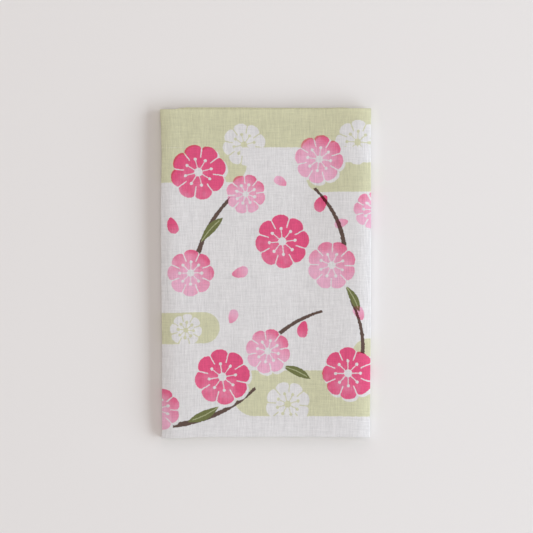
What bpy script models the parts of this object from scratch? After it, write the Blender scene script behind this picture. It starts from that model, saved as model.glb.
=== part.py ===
"""A thin cotton hand towel, folded for the shelf.

The cloth was folded back and forth five times along its length, and that
bundle of five plies was then folded in three across its width: one third
under from the right, and the other third round it from the left. The solid
is the bundle, one closed section that goes forth, back and forth again.
X is across the packet, Y is along it and Z is up. It lies on Z = 0.
"""

import math
from collections import namedtuple

import bmesh
import bpy
from mathutils import Matrix

MM = 0.001

# The packet as it lies
PACKET_LENGTH = 180 * MM
PACKET_WIDTH = 114.6 * MM
BUNDLE = 2.0 * MM
LAYER_GAP = 0.4 * MM
PITCH = BUNDLE + LAYER_GAP

# Heights of the middle of each layer
BOTTOM_Z = BUNDLE / 2
MIDDLE_Z = BOTTOM_Z + PITCH
TOP_Z = MIDDLE_Z + PITCH

# The two turns: how far each reaches sideways from its centre to the bundle's middle,
# and how square it is, where 2 is an ellipse and more is squarer
RIGHT_REACH = PITCH / 2
RIGHT_SQUARENESS = 2
LEFT_REACH = 2.6 * MM
LEFT_SQUARENESS = 3
RIGHT_CENTRE = PACKET_WIDTH / 2 - BUNDLE / 2 - RIGHT_REACH
LEFT_CENTRE = -(PACKET_WIDTH / 2 - BUNDLE / 2 - LEFT_REACH)

# Where the two free edges end
INNER_FREE_X = -52.0 * MM
UNDER_FREE_X = 54.5 * MM

# How the stack settles: it is fullest by its right side, and pressed down over its
# shoulders and its two ends. Levels and drops are shares of the full height
LEFT_LEVEL = 0.84
RISE_FROM_X = 14 * MM
RISE_TO_X = 50 * MM
SHOULDER = 10 * MM
SIDE_DROP = 0.12
END_REACH = 20 * MM
END_DROP = 0.14
TAPER = 0.010

# Divisions of the section and of the length
FLAP_STEPS = 14
FRONT_STEPS = 24
RIGHT_STEPS = 10
LEFT_STEPS = 12
LENGTH_STEPS = 18

# How far the bundle's two ends stand past half the packet's length, along its width:
# across is 0 at the inner free edge and 1 at the free edge underneath
Ends = namedtuple("Ends", "across top bottom")
ENDS = (
    Ends(0.00, -0.9 * MM, -1.0 * MM),
    Ends(0.18, 0.2 * MM, -0.6 * MM),
    Ends(0.32, 0.3 * MM, -0.4 * MM),
    Ends(0.37, 0.6 * MM, -0.3 * MM),
    Ends(0.49, 1.0 * MM, -0.3 * MM),
    Ends(0.61, 0.7 * MM, -0.2 * MM),
    Ends(0.65, -0.2 * MM, 0.4 * MM),
    Ends(0.69, -0.5 * MM, 0.3 * MM),
    Ends(0.85, 0.1 * MM, -0.7 * MM),
    Ends(1.00, -0.8 * MM, -0.3 * MM),
)

COTTON = {"colour": (0.66, 0.64, 0.655, 1.0), "roughness": 0.92, "metallic": 0.0}


def clamped(share):
    return min(max(share, 0.0), 1.0)


def smooth(share):
    return share * share * (3 - 2 * share)


def straight(start, end, z, steps):
    """Points of a flat run of the section, its far end left out."""
    return [(start + (end - start) * i / steps, z) for i in range(steps)]


def squared(share, squareness):
    return math.copysign(abs(share) ** (2 / squareness), share)


def turn(centre, low, high, reach, squareness, steps):
    """Points of a turn from one height to another, its far end left out."""
    middle, rise = (low + high) / 2, (high - low) / 2
    points = []
    for i in range(steps):
        angle = math.pi * (i / steps - 0.5)
        across = squared(math.cos(angle), squareness)
        up = squared(math.sin(angle), squareness)
        points.append((centre + reach * across, middle + rise * up))
    return points


def section():
    """The line down the middle of the bundle, from its inner free edge to the one underneath."""
    line = straight(INNER_FREE_X, RIGHT_CENTRE, MIDDLE_Z, FLAP_STEPS)
    line += turn(RIGHT_CENTRE, MIDDLE_Z, TOP_Z, RIGHT_REACH, RIGHT_SQUARENESS, RIGHT_STEPS)
    line += straight(RIGHT_CENTRE, LEFT_CENTRE, TOP_Z, FRONT_STEPS)
    line += turn(LEFT_CENTRE, TOP_Z, BOTTOM_Z, -LEFT_REACH, LEFT_SQUARENESS, LEFT_STEPS)
    line += straight(LEFT_CENTRE, UNDER_FREE_X, BOTTOM_Z, FLAP_STEPS)
    line.append((UNDER_FREE_X, BOTTOM_Z))
    return line


def shares_along(line):
    """How far along the line each of its points is, from 0 to 1."""
    run = [0.0]
    for a, b in zip(line, line[1:]):
        run.append(run[-1] + math.dist(a, b))
    return [r / run[-1] for r in run]


def ends_at(across):
    """The bundle's two ends, as Y, at a share of its width."""
    for a, b in zip(ENDS, ENDS[1:]):
        if across <= b.across:
            share = smooth((across - a.across) / (b.across - a.across))
            top = a.top + (b.top - a.top) * share
            bottom = a.bottom + (b.bottom - a.bottom) * share
            return -PACKET_LENGTH / 2 - bottom, PACKET_LENGTH / 2 + top
    raise ValueError("across runs from 0 to 1")


def height_share(x, y):
    """How high the stack stands at a place, as a share of its full height."""
    rise = smooth(clamped((x - RISE_FROM_X) / (RISE_TO_X - RISE_FROM_X)))
    side = 1 - clamped((PACKET_WIDTH / 2 - abs(x)) / SHOULDER)
    end = 1 - clamped((PACKET_LENGTH / 2 - abs(y)) / END_REACH)
    level = LEFT_LEVEL + (1 - LEFT_LEVEL) * rise - SIDE_DROP * side**2
    return level * (1 - END_DROP * end**2)


def folded_sheet():
    """The bundle's middle surface: a flat grid whose columns are laid along the section."""
    line = section()
    shares = shares_along(line)
    columns = len(line) - 1
    bm = bmesh.new()
    bmesh.ops.create_grid(bm, x_segments=columns, y_segments=LENGTH_STEPS, size=1)
    for vert in bm.verts:
        column = round((vert.co.x + 1) / 2 * columns)
        row = (vert.co.y + 1) / 2
        x, z = line[column]
        low, high = ends_at(shares[column])
        vert.co = (x, low + (high - low) * row, z)
    mesh = bpy.data.meshes.new("towel")
    bm.to_mesh(mesh)
    bm.free()
    return mesh


def thickened(mesh):
    """The sheet as a closed solid of the bundle's thickness."""
    sheet = bpy.data.objects.new("sheet", mesh)
    bpy.context.scene.collection.objects.link(sheet)
    solidify = sheet.modifiers.new("bundle", "SOLIDIFY")
    solidify.thickness = BUNDLE
    solidify.offset = 0
    solidify.use_even_offset = True
    graph = bpy.context.evaluated_depsgraph_get()
    solid = bpy.data.meshes.new_from_object(sheet.evaluated_get(graph))
    bpy.data.objects.remove(sheet)
    return solid


def settled(mesh):
    """The stack pressed down to its own heights, and a little wider at its top end."""
    for vert in mesh.vertices:
        x, y, z = vert.co
        widened = 1 + TAPER * y / PACKET_LENGTH
        vert.co = (x * widened, y, z * height_share(x, y))
    low = [min(v.co[i] for v in mesh.vertices) for i in range(3)]
    high = [max(v.co[i] for v in mesh.vertices) for i in range(3)]
    shift = (-(low[0] + high[0]) / 2, -(low[1] + high[1]) / 2, -low[2])
    mesh.transform(Matrix.Translation(shift))


def facing_out(mesh):
    bm = bmesh.new()
    bm.from_mesh(mesh)
    bmesh.ops.recalc_face_normals(bm, faces=bm.faces)
    bm.to_mesh(mesh)
    bm.free()


def cotton():
    material = bpy.data.materials.new("cotton")
    material.use_nodes = True
    shader = material.node_tree.nodes["Principled BSDF"]
    shader.inputs["Base Color"].default_value = COTTON["colour"]
    shader.inputs["Roughness"].default_value = COTTON["roughness"]
    shader.inputs["Metallic"].default_value = COTTON["metallic"]
    return material


def main():
    for old in list(bpy.data.objects):
        bpy.data.objects.remove(old)
    collection = bpy.data.collections.new("folded_towel")
    bpy.context.scene.collection.children.link(collection)
    mesh = thickened(folded_sheet())
    settled(mesh)
    facing_out(mesh)
    mesh.shade_smooth()
    mesh.set_sharp_from_angle(angle=math.radians(40))
    mesh.materials.append(cotton())
    collection.objects.link(bpy.data.objects.new("towel", mesh))


main()
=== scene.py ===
"""A thin printed cotton towel, folded for the shelf and seen from straight above.

The cloth is one flat cut length, laid ply by ply along the section of the solid:
first back and forth along its length, then in three across its width.
Lengths are in metres, and those of the print and the weave are in millimetres.
"""

import math
from collections import namedtuple

import bmesh
import bpy
import numpy as np
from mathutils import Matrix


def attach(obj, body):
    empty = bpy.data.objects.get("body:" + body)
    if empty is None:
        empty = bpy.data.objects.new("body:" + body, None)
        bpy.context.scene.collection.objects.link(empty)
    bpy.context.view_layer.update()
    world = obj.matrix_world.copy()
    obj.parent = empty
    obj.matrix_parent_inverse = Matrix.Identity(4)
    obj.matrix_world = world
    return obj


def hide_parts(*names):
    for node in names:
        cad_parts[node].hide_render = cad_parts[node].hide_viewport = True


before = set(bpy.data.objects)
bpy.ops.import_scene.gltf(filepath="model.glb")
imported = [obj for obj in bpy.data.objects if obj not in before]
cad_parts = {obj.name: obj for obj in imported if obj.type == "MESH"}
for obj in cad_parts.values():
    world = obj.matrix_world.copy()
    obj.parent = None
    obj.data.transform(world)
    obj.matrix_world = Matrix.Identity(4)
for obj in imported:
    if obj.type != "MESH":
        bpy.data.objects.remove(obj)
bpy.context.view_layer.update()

MM = 0.001

# The packet's size and its layers, those of its solid
PACKET_LENGTH = 180 * MM
PACKET_WIDTH = 114.6 * MM
BUNDLE = 2.0 * MM
LAYER_GAP = 0.4 * MM
PITCH = BUNDLE + LAYER_GAP
BOTTOM_Z = BUNDLE / 2
MIDDLE_Z = BOTTOM_Z + PITCH
TOP_Z = MIDDLE_Z + PITCH
RIGHT_REACH = PITCH / 2
LEFT_REACH = 2.6 * MM
RIGHT_CENTRE = PACKET_WIDTH / 2 - BUNDLE / 2 - RIGHT_REACH
LEFT_CENTRE = -(PACKET_WIDTH / 2 - BUNDLE / 2 - LEFT_REACH)
INNER_FREE_X = -52.0 * MM
UNDER_FREE_X = 54.5 * MM

# A side turn's two round corners: how much of its reach one takes up, the steps in it, and
# how close before it the flat part's last point stands
CORNER = 0.035
CORNER_STEPS = 5
CORNER_GUARD = 0.03

# How the stack settles: it is lower on its left, it falls over its two shoulders and its two
# ends, and its top end is a little wider. Levels and drops are shares of its height
LEFT_LEVEL = 0.86
RISE_FROM_X = 14 * MM
RISE_TO_X = 50 * MM
LEFT_SHOULDER = 9 * MM
LEFT_DROP = 0.28
RIGHT_SHOULDER = 11 * MM
RIGHT_DROP = 0.16
END_REACH = 20 * MM
TOP_DROP = 0.20
BOTTOM_DROP = 0.26
TAPER = 0.010

# The cloth: its cut size and thickness, its plies, and how far one goes past its straight
# part as it turns. Its selvedges slip by so many times what a ply lies out from the bundle's
# middle, and less and less over the slip's reach from them
CLOTH = 0.25 * MM
PLIES = 5
PLY_PITCH = 0.42 * MM
TURN_REACH = 0.28 * MM
SELVEDGE_SLIP = 1.3
SLIP_REACH = 20 * MM

# The photograph's frame: its side in pixels, what one covers, and what it is centred on
PHOTO_SIDE = 533
PHOTO_PIXEL = 0.5474 * MM
LENS = 85
SENSOR = 36
OVER_X = 0.3 * MM
OVER_Y = 3.4 * MM


def smooth(share):
    return share * share * (3 - 2 * share)


def between(low, high, share):
    return low + (high - low) * share


def read_table(rows, field, at):
    """A column of a table, eased from row to row, at each of the places given."""
    places = np.array([row[0] for row in rows])
    values = np.array([getattr(row, field) for row in rows])
    at = np.clip(at, places[0], places[-1])
    index = np.clip(np.searchsorted(places, at, side="right") - 1, 0, len(places) - 2)
    share = smooth((at - places[index]) / (places[index + 1] - places[index]))
    return between(values[index], values[index + 1], share)


# Camera, light and floor


def add_camera():
    data = bpy.data.cameras.new("camera")
    data.lens = LENS
    data.sensor_width = SENSOR
    camera = bpy.data.objects.new("camera", data)
    height = PHOTO_SIDE * PHOTO_PIXEL / SENSOR * LENS + TOP_Z
    camera.location = (OVER_X, OVER_Y, height)
    bpy.context.scene.collection.objects.link(camera)
    bpy.context.scene.camera = camera


Lamp = namedtuple("Lamp", "name place width height power colour")
LAMPS = (
    Lamp("window", (2.66, -0.58, 0.95), 4.4, 1.6, 131.5, (0.845, 0.926, 1.0)),
    Lamp("overhead", (0.0, 0.0, 1.5), 1.4, 1.4, 5.4, (1.0, 0.925, 0.876)),
    Lamp("left_wall", (-2.2, 0.0, 1.0), 3.0, 1.6, 8.5, (1.0, 0.925, 0.876)),
    Lamp("near_wall", (-0.4, -2.2, 1.0), 3.0, 1.6, 6.0, (1.0, 0.925, 0.876)),
    Lamp("far_wall", (0.3, 2.2, 1.2), 3.0, 1.8, 13.5, (1.0, 0.925, 0.876)),
)
ROOM_COLOUR = (1.0, 0.925, 0.876, 1.0)
ROOM_STRENGTH = 0.265
PAPER_COLOUR = (0.79, 0.772, 0.767, 1.0)
HALF_FLOOR = 2.5


def add_lights():
    for lamp in LAMPS:
        data = bpy.data.lights.new(lamp.name, "AREA")
        data.shape = "ELLIPSE"
        data.size = lamp.width
        data.size_y = lamp.height
        data.energy = lamp.power
        data.color = lamp.colour
        light = bpy.data.objects.new(lamp.name, data)
        x, y, z = lamp.place
        light.location = lamp.place
        light.rotation_euler = (math.atan2(math.hypot(x, y), z), 0, math.atan2(y, x) + math.pi / 2)
        bpy.context.scene.collection.objects.link(light)
    world = bpy.data.worlds.new("room")
    bpy.context.scene.world = world
    world.use_nodes = True
    sky = world.node_tree.nodes["Background"]
    sky.inputs["Color"].default_value = ROOM_COLOUR
    sky.inputs["Strength"].default_value = ROOM_STRENGTH
    bpy.context.scene.view_settings.view_transform = "Standard"


def add_floor():
    bm = bmesh.new()
    bmesh.ops.create_grid(bm, x_segments=1, y_segments=1, size=HALF_FLOOR)
    mesh = bpy.data.meshes.new("floor")
    bm.to_mesh(mesh)
    bm.free()
    material = bpy.data.materials.new("paper")
    material.use_nodes = True
    shader = material.node_tree.nodes["Principled BSDF"]
    shader.inputs["Base Color"].default_value = PAPER_COLOUR
    shader.inputs["Roughness"].default_value = 0.9
    shader.inputs["Specular IOR Level"].default_value = 0.2
    mesh.materials.append(material)
    floor = bpy.data.objects.new("floor", mesh)
    bpy.context.scene.collection.objects.link(floor)


# The cloth's shape

# Where the plies turn or end at the packet's top, past half its length, along the cloth's
# width: across is 0 at the inner selvedge and 1 at the one underneath
TopEnds = namedtuple("TopEnds", "across front_turn second_turn cut_end")
TOP_ENDS = (
    TopEnds(0.00, -1.0 * MM, -0.7 * MM, -2.2 * MM),
    TopEnds(0.15, -0.1 * MM, 0.2 * MM, -0.9 * MM),
    TopEnds(0.31, 0.0 * MM, 0.0 * MM, -1.6 * MM),
    TopEnds(0.345, 0.0 * MM, -0.4 * MM, -1.4 * MM),
    TopEnds(0.37, 0.0 * MM, 0.5 * MM, -1.0 * MM),
    TopEnds(0.40, -0.3 * MM, 0.3 * MM, -0.6 * MM),
    TopEnds(0.49, -0.3 * MM, 0.4 * MM, -0.4 * MM),
    TopEnds(0.54, -0.35 * MM, 0.6 * MM, -0.5 * MM),
    TopEnds(0.62, -0.3 * MM, 0.6 * MM, -0.8 * MM),
    TopEnds(0.645, -0.4 * MM, -0.5 * MM, -1.3 * MM),
    TopEnds(0.69, -0.5 * MM, -0.6 * MM, -1.4 * MM),
    TopEnds(0.84, 0.1 * MM, 0.0 * MM, -0.8 * MM),
    TopEnds(1.00, -0.8 * MM, -0.5 * MM, -1.7 * MM),
)

# The same at the packet's bottom
BottomEnds = namedtuple("BottomEnds", "across cut_end front_turn second_turn")
BOTTOM_ENDS = (
    BottomEnds(0.00, -1.6 * MM, -1.0 * MM, -0.8 * MM),
    BottomEnds(0.20, -0.7 * MM, -0.5 * MM, -0.6 * MM),
    BottomEnds(0.33, 0.2 * MM, -0.4 * MM, -0.8 * MM),
    BottomEnds(0.37, 0.0 * MM, -0.5 * MM, -0.5 * MM),
    BottomEnds(0.46, -0.1 * MM, -0.5 * MM, -0.5 * MM),
    BottomEnds(0.57, 0.1 * MM, -0.3 * MM, -0.5 * MM),
    BottomEnds(0.605, 0.2 * MM, -0.2 * MM, -0.5 * MM),
    BottomEnds(0.63, 0.8 * MM, 0.1 * MM, -0.5 * MM),
    BottomEnds(0.66, 0.9 * MM, 0.1 * MM, -0.5 * MM),
    BottomEnds(0.72, -0.3 * MM, -0.6 * MM, -0.8 * MM),
    BottomEnds(0.88, -0.5 * MM, -0.6 * MM, -0.7 * MM),
    BottomEnds(1.00, -0.3 * MM, -0.6 * MM, -0.9 * MM),
)

# How far the packet's two sides stand out past an even taper, along its length
Sides = namedtuple("Sides", "y left right")
SIDES = (
    Sides(-91 * MM, 0.5 * MM, -0.1 * MM),
    Sides(-86 * MM, 0.0 * MM, -0.1 * MM),
    Sides(-40 * MM, -0.1 * MM, 0.1 * MM),
    Sides(5 * MM, 0.2 * MM, 0.0 * MM),
    Sides(34 * MM, 0.2 * MM, 0.1 * MM),
    Sides(63 * MM, -0.3 * MM, -0.1 * MM),
    Sides(78 * MM, -0.1 * MM, -0.1 * MM),
    Sides(87 * MM, 0.5 * MM, 0.1 * MM),
    Sides(91 * MM, 0.6 * MM, 0.2 * MM),
)

# Soft troughs and ridges in the packet's face: the middle of each, the way it runs in
# degrees, how long and how wide it is, and the share of the height it gives or takes
Swell = namedtuple("Swell", "x y turn length width lift")
SWELLS = (
    Swell(21 * MM, 32 * MM, 86, 60 * MM, 13 * MM, -0.040),
    Swell(54 * MM, 26 * MM, 91, 42 * MM, 12 * MM, 0.060),
    Swell(-30 * MM, -20 * MM, 97, 80 * MM, 15 * MM, -0.022),
    Swell(-8 * MM, 62 * MM, 8, 40 * MM, 9 * MM, 0.022),
    Swell(10 * MM, -55 * MM, 172, 45 * MM, 12 * MM, -0.024),
    Swell(-44 * MM, 44 * MM, 80, 38 * MM, 7 * MM, 0.028),
    Swell(-2 * MM, 4 * MM, 35, 34 * MM, 16 * MM, 0.016),
    Swell(30 * MM, -70 * MM, 20, 26 * MM, 9 * MM, 0.026),
    Swell(-58 * MM, -58 * MM, 90, 50 * MM, 9 * MM, -0.060),
    Swell(-58 * MM, 58 * MM, 90, 40 * MM, 9 * MM, 0.075),
    Swell(57 * MM, 36 * MM, 90, 42 * MM, 36 * MM, 0.100),
)

# Steps across a flat part, rows up a ply and through an end turn, and the short first step in
# from a cut end, as a share of the ply, and from a selvedge
FLAT_STEP = 2.7 * MM
FRONT_ROWS = 78
HIDDEN_ROWS = 30
TURN_ROWS = 8
CUT_ROW = 0.0003
EDGE_STEP = 0.05 * MM

Row = namedtuple("Row", "ply share swing")


def turn_profile():
    """A side turn from one end to the other: how far across, 0 to 1, and how far up, -1 to 1."""
    flat = 1 - CORNER
    corner = [math.pi / 2 * i / CORNER_STEPS for i in range(CORNER_STEPS + 1)]
    upper = [(flat + CORNER * math.cos(a), flat + CORNER * math.sin(a)) for a in corner]
    upper.append((flat - CORNER_GUARD, 1.0))
    lower = [(across, -up) for across, up in reversed(upper)]
    return [(0.0, -1.0)] + lower + upper


def stations_across():
    """Stations down the middle of the bundle: how far along they are, and the front's middle.

    Each one is its X, its Z, and the way out of the packet there.
    """

    def straight(start, end, z, out):
        steps = math.ceil(abs(end - start) / FLAT_STEP)
        return [(between(start, end, i / steps), z, 0.0, out) for i in range(steps)]

    def turn(centre, low, high, reach):
        middle, rise = (low + high) / 2, (high - low) / 2
        way, lift = math.copysign(1, reach), math.copysign(1, rise)
        points = []
        for across, up in turn_profile():
            points.append((centre + reach * across, middle + rise * up, way * across, lift * up))
        return points

    points = [(INNER_FREE_X - EDGE_STEP, MIDDLE_Z, 0.0, -1.0)]
    points += straight(INNER_FREE_X, RIGHT_CENTRE, MIDDLE_Z, -1.0)
    points += turn(RIGHT_CENTRE, MIDDLE_Z, TOP_Z, RIGHT_REACH)
    front = len(points)
    points += straight(RIGHT_CENTRE, LEFT_CENTRE, TOP_Z, 1.0)
    points += turn(LEFT_CENTRE, TOP_Z, BOTTOM_Z, -LEFT_REACH)
    points += straight(LEFT_CENTRE, UNDER_FREE_X, BOTTOM_Z, -1.0)
    points.append((UNDER_FREE_X, BOTTOM_Z, 0.0, -1.0))
    points.append((UNDER_FREE_X + EDGE_STEP, BOTTOM_Z, 0.0, -1.0))
    points = np.array(points)
    steps = np.hypot(np.diff(points[:, 0]), np.diff(points[:, 1]))
    runs = np.concatenate(([0.0], np.cumsum(steps)))
    return runs, points, runs[front] + RIGHT_CENTRE


def rows_along():
    """Rows up the cloth: the ply each is on, how far up it, and how far through a turn.

    They stand closer together by a ply's two ends.
    """
    rows = []
    for ply in range(PLIES):
        count = FRONT_ROWS if ply == 0 else HIDDEN_ROWS
        for i in range(count + 1):
            share = i / count - math.sin(2 * math.pi * i / count) / (4 * math.pi)
            rows.append(Row(ply, share if ply % 2 == 0 else 1 - share, 0.0))
        if ply < PLIES - 1:
            rows += [Row(ply, None, math.pi * i / TURN_ROWS) for i in range(1, TURN_ROWS)]
    rows.insert(1, Row(0, CUT_ROW, 0.0))
    rows.insert(-1, Row(PLIES - 1, 1 - CUT_ROW, 0.0))
    return rows


def straight_ends(ply, across):
    """Where a ply's straight part stops at the packet's bottom and top."""
    bottom_field = BottomEnds._fields[1 + (ply + 1) // 2]
    top_field = TopEnds._fields[1 + ply // 2]
    bottom = -PACKET_LENGTH / 2 - read_table(BOTTOM_ENDS, bottom_field, across)
    top = PACKET_LENGTH / 2 + read_table(TOP_ENDS, top_field, across)
    bottom_room = TURN_REACH if ply > 0 else 0.0
    top_room = TURN_REACH if ply < PLIES - 1 else 0.0
    return bottom + bottom_room, top - top_room


def row_place(row, across):
    """A row's Y, and how far it lies out from the bundle's middle, right across the cloth."""
    bottom, top = straight_ends(row.ply, across)
    out = ((PLIES - 1) / 2 - row.ply) * PLY_PITCH
    if row.share is not None:
        return between(bottom, top, row.share), out
    end, way = (top, 1) if row.ply % 2 == 0 else (bottom, -1)
    y = end + way * TURN_REACH * math.sin(row.swing)
    return y, out - PLY_PITCH / 2 * (1 - math.cos(row.swing))


def height_share(x, y):
    """How high the stack stands at a place, as a share of its full height."""
    rise = smooth(np.clip((x - RISE_FROM_X) / (RISE_TO_X - RISE_FROM_X), 0, 1))
    left = 1 - np.clip((PACKET_WIDTH / 2 + x) / LEFT_SHOULDER, 0, 1)
    right = 1 - np.clip((PACKET_WIDTH / 2 - x) / RIGHT_SHOULDER, 0, 1)
    end = 1 - np.clip((PACKET_LENGTH / 2 - np.abs(y)) / END_REACH, 0, 1)
    level = LEFT_LEVEL + (1 - LEFT_LEVEL) * rise
    level -= LEFT_DROP * left**3 * (1 - left / 2) + RIGHT_DROP * right**3
    share = level * (1 - np.where(y < 0, BOTTOM_DROP, TOP_DROP) * end**2)
    for swell in SWELLS:
        turn = math.radians(swell.turn)
        along = (x - swell.x) * math.cos(turn) + (y - swell.y) * math.sin(turn)
        over = (y - swell.y) * math.cos(turn) - (x - swell.x) * math.sin(turn)
        share += swell.lift * np.exp(-((along / swell.length) ** 2) - (over / swell.width) ** 2)
    return share


def selvedge_slip(out, runs):
    """How far a ply's selvedges slip past the others', for the tighter way it takes round."""
    inner = np.exp(-runs / SLIP_REACH)
    under = np.exp(-(runs[-1] - runs) / SLIP_REACH)
    return SELVEDGE_SLIP * out * (inner - under)


def laid_cloth():
    """Every point of the cloth in its place, and its place on the flat cloth."""
    runs, stations, middle = stations_across()
    rows = rows_along()
    laid = np.zeros((len(rows), len(runs), 3))
    for j, row in enumerate(rows):
        y, out = row_place(row, runs / runs[-1])
        laid[j, :, 0] = stations[:, 0] + out * stations[:, 2] + selvedge_slip(out, runs)
        laid[j, :, 1] = y
        laid[j, :, 2] = stations[:, 1] + out * stations[:, 3]
    x, y, z = (laid[..., i].copy() for i in range(3))
    side = x / PACKET_WIDTH + 0.5
    stand = between(-read_table(SIDES, "left", y), read_table(SIDES, "right", y), side)
    laid[..., 0] = x * (1 + TAPER * y / PACKET_LENGTH) + stand
    laid[..., 2] = z * height_share(x, y)
    steps = np.linalg.norm(np.diff(laid, axis=0), axis=2).mean(axis=1)
    lengths = np.concatenate(([0.0], np.cumsum(steps)))
    return laid, middle - runs, lengths - PACKET_LENGTH / 2


def add_cloth():
    laid, flat_x, flat_y = laid_cloth()
    last_row, last_column = laid.shape[0] - 1, laid.shape[1] - 1
    bm = bmesh.new()
    uv = bm.loops.layers.uv.new("cloth")
    bmesh.ops.create_grid(bm, x_segments=last_column, y_segments=last_row, size=1)
    flat = {}
    for vert in bm.verts:
        column = round((vert.co.x + 1) / 2 * last_column)
        row = round((vert.co.y + 1) / 2 * last_row)
        flat[vert] = (flat_x[column], flat_y[row])
        vert.co = laid[row, column]
    for face in bm.faces:
        face.smooth = True
        for loop in face.loops:
            loop[uv].uv = flat[loop.vert]
    mesh = bpy.data.meshes.new("printed_cloth")
    bm.to_mesh(mesh)
    bm.free()
    cloth = bpy.data.objects.new("printed_cloth", mesh)
    bpy.context.scene.collection.objects.link(cloth)
    solidify = cloth.modifiers.new("thickness", "SOLIDIFY")
    solidify.thickness = CLOTH
    solidify.offset = 0
    mesh.materials.append(printed_cotton())
    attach(cloth, "root")
    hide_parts("towel")


# Fields: numbers that vary over the cloth, as shader nodes

# Where a Mix node keeps the first of the two inputs of each kind, and how far a dye's edge
# blurs unless more is said, in millimetres
MIX_INPUTS = {"FLOAT": 2, "VECTOR": 4, "RGBA": 6}
EDGE_BLUR = 0.22


def connect(tree, value, socket):
    if isinstance(value, Field):
        tree.links.new(value.socket, socket)
    else:
        socket.default_value = value


class Field:
    """A number, vector or colour at each point of the cloth, and the socket that gives it."""

    def __init__(self, tree, socket):
        self.tree = tree
        self.socket = socket

    def math(self, operation, *others):
        node = self.tree.nodes.new("ShaderNodeMath")
        node.operation = operation
        for value, socket in zip((self, *others), node.inputs):
            connect(self.tree, value, socket)
        return Field(self.tree, node.outputs[0])

    def vector(self, operation, *others, output="Vector"):
        node = self.tree.nodes.new("ShaderNodeVectorMath")
        node.operation = operation
        for value, socket in zip((self, *others), node.inputs):
            connect(self.tree, value, socket)
        return Field(self.tree, node.outputs[output])

    def __add__(self, other):
        return self.math("ADD", other)

    def __sub__(self, other):
        return self.math("SUBTRACT", other)

    def __mul__(self, other):
        return self.math("MULTIPLY", other)

    def __truediv__(self, other):
        return self.math("DIVIDE", other)

    def __neg__(self):
        return self.math("MULTIPLY", -1.0)

    def power(self, other):
        return self.math("POWER", other)

    def at_least(self, other):
        return self.math("MAXIMUM", other)

    def at_most(self, other):
        return self.math("MINIMUM", other)

    def size(self):
        return self.math("ABSOLUTE")

    def length(self):
        return self.vector("LENGTH", output="Value")

    def along(self, degrees):
        turn = math.radians(degrees)
        way = (math.cos(turn), math.sin(turn), 0)
        return self.vector("DOT_PRODUCT", way, output="Value")

    def parts(self):
        node = self.tree.nodes.new("ShaderNodeSeparateXYZ")
        connect(self.tree, self, node.inputs[0])
        return [Field(self.tree, socket) for socket in node.outputs]

    def scaled(self, factor):
        node = self.tree.nodes.new("ShaderNodeVectorMath")
        node.operation = "SCALE"
        connect(self.tree, self, node.inputs[0])
        connect(self.tree, factor, node.inputs["Scale"])
        return Field(self.tree, node.outputs["Vector"])

    def ramp(self, low, high, start=0.0, end=1.0):
        """Eased from start to end as this goes from low to high."""
        node = self.tree.nodes.new("ShaderNodeMapRange")
        node.interpolation_type = "SMOOTHSTEP"
        for value, socket in zip((self, low, high, start, end), node.inputs):
            connect(self.tree, value, socket)
        return Field(self.tree, node.outputs[0])

    def inked(self, blur=EDGE_BLUR):
        """Full where this is well above zero, and none where it is well below."""
        return self.ramp(-blur / 2, blur / 2)

    def choose(self, off, on, kind="FLOAT"):
        """One value where this is 0 and the other where it is 1."""
        first = MIX_INPUTS[kind]
        node = self.tree.nodes.new("ShaderNodeMix")
        node.data_type = kind
        connect(self.tree, self, node.inputs[0])
        connect(self.tree, off, node.inputs[first])
        connect(self.tree, on, node.inputs[first + 1])
        return Field(self.tree, node.outputs[first // 2 - 1])


def joined(x, y, z=0.0):
    node = x.tree.nodes.new("ShaderNodeCombineXYZ")
    for value, socket in zip((x, y, z), node.inputs):
        connect(x.tree, value, socket)
    return Field(x.tree, node.outputs[0])


def noise(place, scale, detail=2.0, roughness=0.5, output=0):
    node = place.tree.nodes.new("ShaderNodeTexNoise")
    connect(place.tree, place, node.inputs["Vector"])
    node.inputs["Scale"].default_value = scale
    node.inputs["Detail"].default_value = detail
    node.inputs["Roughness"].default_value = roughness
    return Field(place.tree, node.outputs[output])


# The print: a made-up repeat of round daisies, buds and leaves on thin stems, over bands
# of mist. Places, sizes and widths are in millimetres from the middle of the front, turns are
# in degrees, and a tone is 0 for the palest pink and 1 for the deepest

REPEAT = 181.0

# It repeats up the cloth alone, so across the cloth a repeat is far wider than the cloth is
HALF_REPEAT = (1000.0, REPEAT / 2, 1.0)

OFF_WHITE = (0.702, 0.692, 0.700, 1)
MIST_GREEN = (0.592, 0.588, 0.406, 1)
STEM_BROWN = (0.115, 0.075, 0.062, 1)
LEAF_GREEN = (0.155, 0.17, 0.065, 1)
VEIN_GREEN = (0.36, 0.38, 0.21, 1)

# Pink dyes are clear: the colour under one is multiplied by it
UNDYED = (1, 1, 1, 1)
SHELL_DYE = (1.08, 0.60, 0.80, 1)
ROSE_DYE = (1.00, 0.128, 0.298, 1)

# The white left under the pink daisies stands a little to one side of them, and past them
RESERVE_SHIFT = (-0.9, 1.1, 0)
RESERVE_MARGIN = 0.35

# How far the edges wander, and how finely they, the pinks' clouds and the stems' widths vary
WANDER = 0.75
WANDER_SCALE = 0.9
CLOUD_SCALE = 0.13
STEM_SCALE = 0.7

# How far the edges blur: those of the mist and the pale daisies, of the white left under the
# pink ones, of the pinks, and of the fine white lines
GROUND_BLUR = 0.4
RESERVE_BLUR = 0.5
PINK_BLUR = 0.35
LINE_BLUR = 0.3

# How far the pink deepens: with its clouds, out past a ring of the daisy that has its own
# tone, across the daisy along a slant in degrees, and up a bud
CLOUD_DEPTH = 0.9
TONE_RING = 0.55
TIP_DEPTH = 0.35
SLANT = 60
SLANT_DEPTH = 0.028
BUD_DEPTH = 0.25

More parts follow.
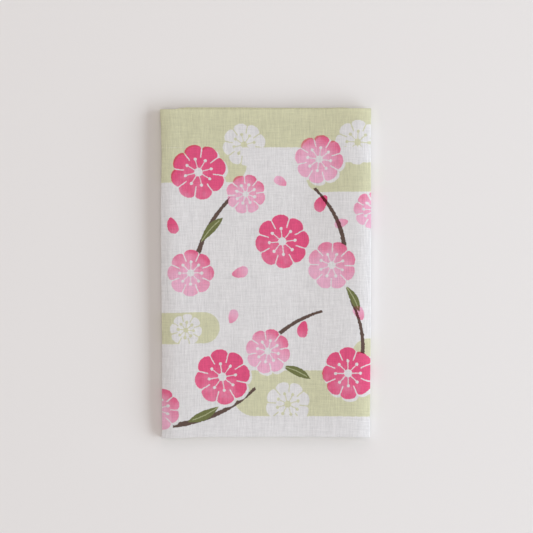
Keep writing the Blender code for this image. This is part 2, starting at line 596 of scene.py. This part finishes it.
Band = namedtuple("Band", "x y half_length half_width")
MIST_BANDS = (
    Band(-6, 79.5, 74, 11.0),
    Band(-66, 59, 46, 9.5),
    Band(62, 52, 32, 8.0),
    Band(-78, -30, 44, 8.5),
    Band(46, -66, 52, 12.5),
    Band(96, -45, 40, 9.0),
    Band(-120, 30, 30, 10.0),
    Band(132, 8, 26, 11.0),
    Band(-132, -82, 40, 12.0),
)

Motif = namedtuple("Motif", "x y size turn tone")
PALE_DAISIES = (
    Motif(-12, 70, 12.0, 10, 0),
    Motif(50, 71, 12.5, 25, 0),
    Motif(12, -72, 12.5, 5, 0),
    Motif(-44, -31, 9.0, 30, 0),
    Motif(-84, 62, 13.0, 12, 0),
    Motif(96, -50, 12.0, 20, 0),
    Motif(-126, -78, 12.5, 2, 0),
    Motif(134, 12, 12.0, 33, 0),
)
DAISIES = (
    Motif(-37, 55, 15.5, 8, 0.95),
    Motif(-11, 43, 11.0, 40, 0.28),
    Motif(29, 62, 13.5, 31, 0.25),
    Motif(9, 17, 15.0, 17, 0.95),
    Motif(36, 4, 13.5, 2, 0.22),
    Motif(58, 34, 10.5, 28, 0.30),
    Motif(-41, 0, 13.0, 24, 0.30),
    Motif(-24, -57, 15.5, 14, 0.90),
    Motif(1, -43, 12.5, 36, 0.22),
    Motif(45, -55, 14.5, 21, 0.92),
    Motif(-59, -74, 12.0, 3, 0.28),
    Motif(-96, 38, 13.5, 6, 0.25),
    Motif(-112, 52, 12.0, 27, 0.85),
    Motif(-86, -14, 12.0, 11, 0.90),
    Motif(-140, -36, 13.0, 19, 0.22),
    Motif(-100, -76, 13.5, 30, 0.80),
    Motif(86, 42, 13.5, 9, 0.85),
    Motif(106, 56, 11.5, 26, 0.25),
    Motif(92, -16, 12.0, 34, 0.22),
    Motif(140, -40, 13.0, 4, 0.90),
    Motif(112, -76, 12.5, 16, 0.30),
    Motif(146, 70, 12.5, 28, 0.85),
)
BUDS = (
    Motif(30, 38, 5.0, 60, 0.85),
    Motif(-14, 0, 4.6, 200, 0.40),
    Motif(-51, 26, 4.6, 110, 0.85),
    Motif(41, 27, 3.8, 20, 0.25),
    Motif(20, -31, 4.6, 80, 0.85),
    Motif(51, -22, 4.2, 300, 0.30),
    Motif(-18, -24, 4.0, 250, 0.25),
    Motif(8, 50, 3.8, 330, 0.30),
    Motif(-70, 20, 4.6, 30, 0.80),
    Motif(-120, 4, 4.2, 220, 0.30),
    Motif(120, 34, 4.4, 100, 0.80),
    Motif(72, 6, 4.0, 150, 0.30),
    Motif(128, -66, 4.4, 200, 0.80),
)
LEAVES = (
    Motif(-30, 24, 9.0, 48, 0),
    Motif(48, -14, 8.0, -62, 0),
    Motif(-34, -78, 9.5, 205, 0),
    Motif(17, -54, 8.5, -24, 0),
    Motif(-74, 52, 9.0, 20, 0),
    Motif(-104, 22, 8.5, 250, 0),
    Motif(-120, -52, 9.0, 70, 0),
    Motif(70, 52, 9.0, 130, 0),
    Motif(110, 36, 8.5, -30, 0),
    Motif(118, -28, 9.0, 200, 0),
    Motif(98, -92, 9.0, 60, 0),
)

Stem = namedtuple("Stem", "x y turn half_length bend half_width")
STEMS = (
    Stem(-27, 22, 62, 26, 5.0, 1.15),
    Stem(35, 27, 114, 21, -4.0, 1.05),
    Stem(-30, -73, 22, 26, -5.0, 1.20),
    Stem(13, -34, 36, 22, 4.0, 1.05),
    Stem(49, -34, 98, 19, -3.5, 0.95),
    Stem(-100, 8, 74, 36, 8.0, 1.20),
    Stem(-118, -62, 48, 30, -6.0, 1.10),
    Stem(100, 44, 30, 32, 6.0, 1.15),
    Stem(116, -52, 66, 38, -8.0, 1.20),
)

# A daisy, in shares of its size: its petals' shoulders and the round of their tips, where
# they part, its heart, its threads' ends and its dots
PETALS = 8
HALF_PETAL = math.pi / PETALS
PETAL_SHOULDER = 0.79
PETAL_ROUND = 0.19
PARTING = 0.52
HEART = 0.15
THREAD_END = 0.42
DOT_RING = 0.47

# Its white lines, in millimetres: half of a gap and of a thread, a dot's radius, and how
# fast a gap opens from where the petals part
HALF_GAP = 0.30
HALF_THREAD = 0.24
DOT_RADIUS = 0.85
GAP_OPENING = 8.0

# The outline of a leaf and a bud: how plump and how sharp it is, how much fuller by its tip,
# and how far both bend
Blade = namedtuple("Blade", "plump sharpness egg")
LEAF_BLADE = Blade(0.27, 1.0, 0.04)
BUD_BLADE = Blade(0.62, 0.5, -0.16)
BLADE_BEND = 0.10

# A leaf's vein: half its width, and where along the leaf it runs out and how fast
HALF_VEIN = 0.28
VEIN_END = 0.72
VEIN_TAPER = 3.0

# How far a stem's half width tapers to its end, as a share, and wavers in all
STEM_TAPER = 0.30
STEM_WAVER = 0.8

# How a place in no motif is seen: far off from one that is 1 in size, with no turn or tone
FAR_OFF = (500.0, 0.0, 0.0)
NO_FACTS = (1.0, 0.0, 0.0)


def from_middle(place, motif):
    """The place as seen from a motif's middle, with the print repeating up the cloth."""
    offset = place.vector("SUBTRACT", (motif.x, motif.y, 0))
    return offset.vector("WRAP", HALF_REPEAT, tuple(-side for side in HALF_REPEAT))


def nearest_motif(place, motifs):
    """The place as seen from the motif whose circle it is in, and that motif's own facts."""
    offset, facts = FAR_OFF, NO_FACTS
    for motif in motifs:
        seen = from_middle(place, motif)
        within = seen.length().math("LESS_THAN", motif.size)
        offset = within.choose(offset, seen, "VECTOR")
        turn = math.radians(motif.turn)
        facts = within.choose(facts, (motif.size, turn, motif.tone), "VECTOR")
    return offset, facts.parts()


def mist(place):
    """How far inside the bands of mist a place is."""
    depth = None
    for band in MIST_BANDS:
        seen = from_middle(place, band).vector("ABSOLUTE")
        past = seen.vector("SUBTRACT", (band.half_length, 0, 0)).vector("MAXIMUM", (0, 0, 0))
        inside = -past.length() + band.half_width
        depth = inside if depth is None else depth.at_least(inside)
    return depth


def daisy(place, motifs):
    """How far inside a daisy's petals a place is, and where it is in the petal and the daisy."""
    offset, (size, turn, tone) = nearest_motif(place, motifs)
    x, y, _ = offset.parts()
    angle = y.math("ARCTAN2", x) + turn
    aside = (angle / (2 * HALF_PETAL)).math("FRACT") - 0.5
    aside = aside.size() * 2.0
    out = offset.length() / size
    tip = (-aside * aside + 1.0).at_least(0.0).math("SQRT") * PETAL_ROUND + PETAL_SHOULDER
    petals = (tip - out) * size
    step = aside * out * size * HALF_PETAL
    gap = (-aside + 1.0) * out * size * HALF_PETAL
    return petals, step, gap, out, size, tone, offset


def daisy_lines(step, gap, out, size):
    """The white that is left between the petals, and the white heart, threads and dots."""
    between_petals = (-gap + HALF_GAP).at_most((out - PARTING) * GAP_OPENING)
    heart = (-out + HEART) * size
    thread = (-step + HALF_THREAD).at_most((-out + THREAD_END) * size)
    from_dot = ((out - DOT_RING) * size).power(2.0) + step.power(2.0)
    dot = -from_dot.math("SQRT") + DOT_RADIUS
    return between_petals.at_least(heart).at_least(thread.at_least(dot))


def pointed(place, motifs, blade):
    """How far inside a leaf or a bud a place is, how far from its midrib and along, and its tone."""
    offset, (size, turn, tone) = nearest_motif(place, motifs)
    rotate = place.tree.nodes.new("ShaderNodeVectorRotate")
    rotate.rotation_type = "Z_AXIS"
    connect(place.tree, offset, rotate.inputs["Vector"])
    connect(place.tree, -turn, rotate.inputs["Angle"])
    x, y, _ = Field(place.tree, rotate.outputs[0]).parts()
    along = x / size
    belly = (-along * along + 1.0).at_least(0.0).power(blade.sharpness)
    width = belly * (along * blade.egg + blade.plump) * size
    rib = (y + along * along * size * BLADE_BEND).size()
    return width - rib, rib, along, tone


def stem_depth(place, waver):
    """How far inside a stem a place is."""
    depth = None
    for stem in STEMS:
        seen = from_middle(place, stem)
        along = seen.along(stem.turn) / stem.half_length
        bow = (-along * along + 1.0) * stem.bend
        over = (seen.along(stem.turn + 90) - bow).size()
        waved = waver * STEM_WAVER + stem.half_width - STEM_WAVER / 2
        half = along * (-STEM_TAPER * stem.half_width) + waved
        inside = (half - over).at_most((-along.size() + 1.0) * stem.half_length)
        depth = inside if depth is None else depth.at_least(inside)
    return depth


def printed_colour(place):
    """The dyes laid over each other: mist, stems and leaves round the daisies, then pinks."""
    wander = noise(place, WANDER_SCALE, output="Color").vector("SUBTRACT", (0.5, 0.5, 0.5))
    place = place.vector("ADD", wander.scaled(WANDER).vector("MULTIPLY", (1, 1, 0)))
    cloudy = noise(place, CLOUD_SCALE, 3.0)
    waver = noise(place, STEM_SCALE, 3.0)

    ground = mist(place).inked(GROUND_BLUR).choose(OFF_WHITE, MIST_GREEN, "RGBA")
    petals, step, gap, out, size, _, _ = daisy(place, PALE_DAISIES)
    lines = daisy_lines(step, gap, out, size)
    pale = lines.inked(LINE_BLUR).choose(OFF_WHITE, ground, "RGBA")
    colour = petals.inked(GROUND_BLUR).choose(ground, pale, "RGBA")

    stems = stem_depth(place, waver)
    colour = stems.inked().choose(colour, STEM_BROWN, "RGBA")

    leaf, rib, along, _ = pointed(place, LEAVES, LEAF_BLADE)
    veined = (-rib + HALF_VEIN).at_most((-along + VEIN_END) * VEIN_TAPER).inked()
    leaf_colour = veined.choose(LEAF_GREEN, VEIN_GREEN, "RGBA")
    colour = leaf.inked().choose(colour, leaf_colour, "RGBA")
    reserve = daisy(place.vector("ADD", RESERVE_SHIFT), DAISIES)[0] + RESERVE_MARGIN
    colour = reserve.inked(RESERVE_BLUR).choose(colour, OFF_WHITE, "RGBA")

    petals, step, gap, out, size, tone, offset = daisy(place, DAISIES)
    lines = daisy_lines(step, gap, out, size)
    depth = tone + (cloudy - 0.5) * CLOUD_DEPTH + (out - TONE_RING) * TIP_DEPTH
    depth = depth + offset.along(SLANT) * SLANT_DEPTH
    dye = depth.ramp(0.0, 1.0).choose(SHELL_DYE, ROSE_DYE, "RGBA")
    pink = petals.inked(PINK_BLUR) * (-lines.inked(LINE_BLUR) + 1.0)
    colour = colour.vector("MULTIPLY", pink.choose(UNDYED, dye, "RGBA"))

    bud, _, along, tone = pointed(place, BUDS, BUD_BLADE)
    dye = (tone + along * BUD_DEPTH).ramp(0.0, 1.0).choose(SHELL_DYE, ROSE_DYE, "RGBA")
    return colour.vector("MULTIPLY", bud.inked(PINK_BLUR).choose(UNDYED, dye, "RGBA"))


# The weave, in millimetres

WARP_PITCH = 0.47
WEFT_PITCH = 0.51

# Each yarn reads a line of its own in one noise: the steps from line to line, the weft's
# place past the warp's, and how fast a yarn runs along its line
STEP_ASIDE = 7.31
STEP_IN = 3.17
WEFT_PAST = 50.0
YARN_RATE = 0.11

# How much the yarns' thickness varies their height, the warp's tone and the weft's tone
YARN_HEIGHT = 1.2
WARP_TONE = 1.2
WEFT_TONE = 0.75

# Painted shade: how dark the colour is in the hollows between yarns, and the painted light
# the yarns' tops add to it; how far the yarns' tone shows in it, and how far and how finely
# the dye drifts over the cloth
HOLLOW_PAINTED_SHADE = 0.92
CROWN_PAINTED_LIGHT = 0.12
YARN_TINT = 0.31
DYE_DRIFT = 0.05
DRIFT_SCALE = 0.05

# How far the weave stands up, and how much of it is the yarns' own thickness
WEAVE_HEIGHT = 0.10 * MM
YARN_RELIEF = 1.4

# Painted light: how much paler the colour is painted along a fold across the cloth, standing
# in for the light on the packet's top end as it rises to its fold, how far from the fold it
# reaches, and how far apart the folds are
FOLD_PAINTED_LIGHT = 0.05
FOLD_LIGHT_REACH = 8.0
PLY_LENGTH = 180.0


def yarns(place):
    """How high the weave stands, and its tone from how thick each yarn is along its length."""
    x, y, _ = place.parts()
    thickness = []
    for over, along, pitch, past in ((x, y, WARP_PITCH, 0.0), (y, x, WEFT_PITCH, WEFT_PAST)):
        number = (over / pitch).math("FLOOR")
        yarn = joined(number * STEP_ASIDE + past, along * YARN_RATE, number * STEP_IN)
        thickness.append(noise(yarn, 1.0, 3.0, 0.6) - 0.5)
    warp, weft = thickness
    warp_turn = x * (math.pi / WARP_PITCH)
    weft_turn = y * (math.pi / WEFT_PITCH)
    over_under = warp_turn.math("COSINE") * weft_turn.math("COSINE")
    warp_top = warp_turn.math("SINE").size() * (over_under * 0.5 + 0.5)
    weft_top = weft_turn.math("SINE").size() * (-over_under * 0.5 + 0.5)
    stand = warp_top * (warp * YARN_HEIGHT + 1.0) + weft_top * (weft * YARN_HEIGHT + 1.0)
    return stand, warp * WARP_TONE + weft * WEFT_TONE


def painted_fold_light(place):
    """Painted light: the colour made paler along the folds that part one ply from the next."""
    up = place.parts()[1].at_least(0.0)
    from_fold = ((up / PLY_LENGTH).math("FRACT") - 0.5).size() * PLY_LENGTH
    return from_fold.ramp(0.0, FOLD_LIGHT_REACH, 1.0 + FOLD_PAINTED_LIGHT, 1.0)


def printed_cotton():
    material = bpy.data.materials.new("printed_cotton")
    material.use_nodes = True
    tree = material.node_tree
    shader = tree.nodes["Principled BSDF"]
    uv = tree.nodes.new("ShaderNodeUVMap")
    uv.uv_map = "cloth"
    place = Field(tree, uv.outputs[0]).scaled(1 / MM)
    colour = printed_colour(place)
    stand, thickness = yarns(place)
    # Painted shade and light: the colour is darker in the hollows between yarns and lighter on their
    # tops
    painted_weave_shade = stand.ramp(0.1, 0.9) * CROWN_PAINTED_LIGHT + HOLLOW_PAINTED_SHADE
    # shade holds the painted shade of the weave's hollows, the yarns' own tone, and the painted
    # light along the folds
    shade = painted_weave_shade * (thickness * YARN_TINT + 1.0) * painted_fold_light(place)
    dye = noise(place, DRIFT_SCALE, 3.0) * DYE_DRIFT + (1 - DYE_DRIFT / 2)
    connect(tree, colour.scaled(shade * dye), shader.inputs["Base Color"])
    bump = tree.nodes.new("ShaderNodeBump")
    bump.inputs["Strength"].default_value = 0.6
    bump.inputs["Distance"].default_value = WEAVE_HEIGHT
    connect(tree, stand + thickness * YARN_RELIEF, bump.inputs["Height"])
    tree.links.new(bump.outputs[0], shader.inputs["Normal"])
    shader.inputs["Roughness"].default_value = 0.88
    shader.inputs["Specular IOR Level"].default_value = 0.15
    shader.inputs["Sheen Weight"].default_value = 0.06
    shader.inputs["Sheen Roughness"].default_value = 0.5
    return material


add_camera()
add_lights()
add_floor()
add_cloth()
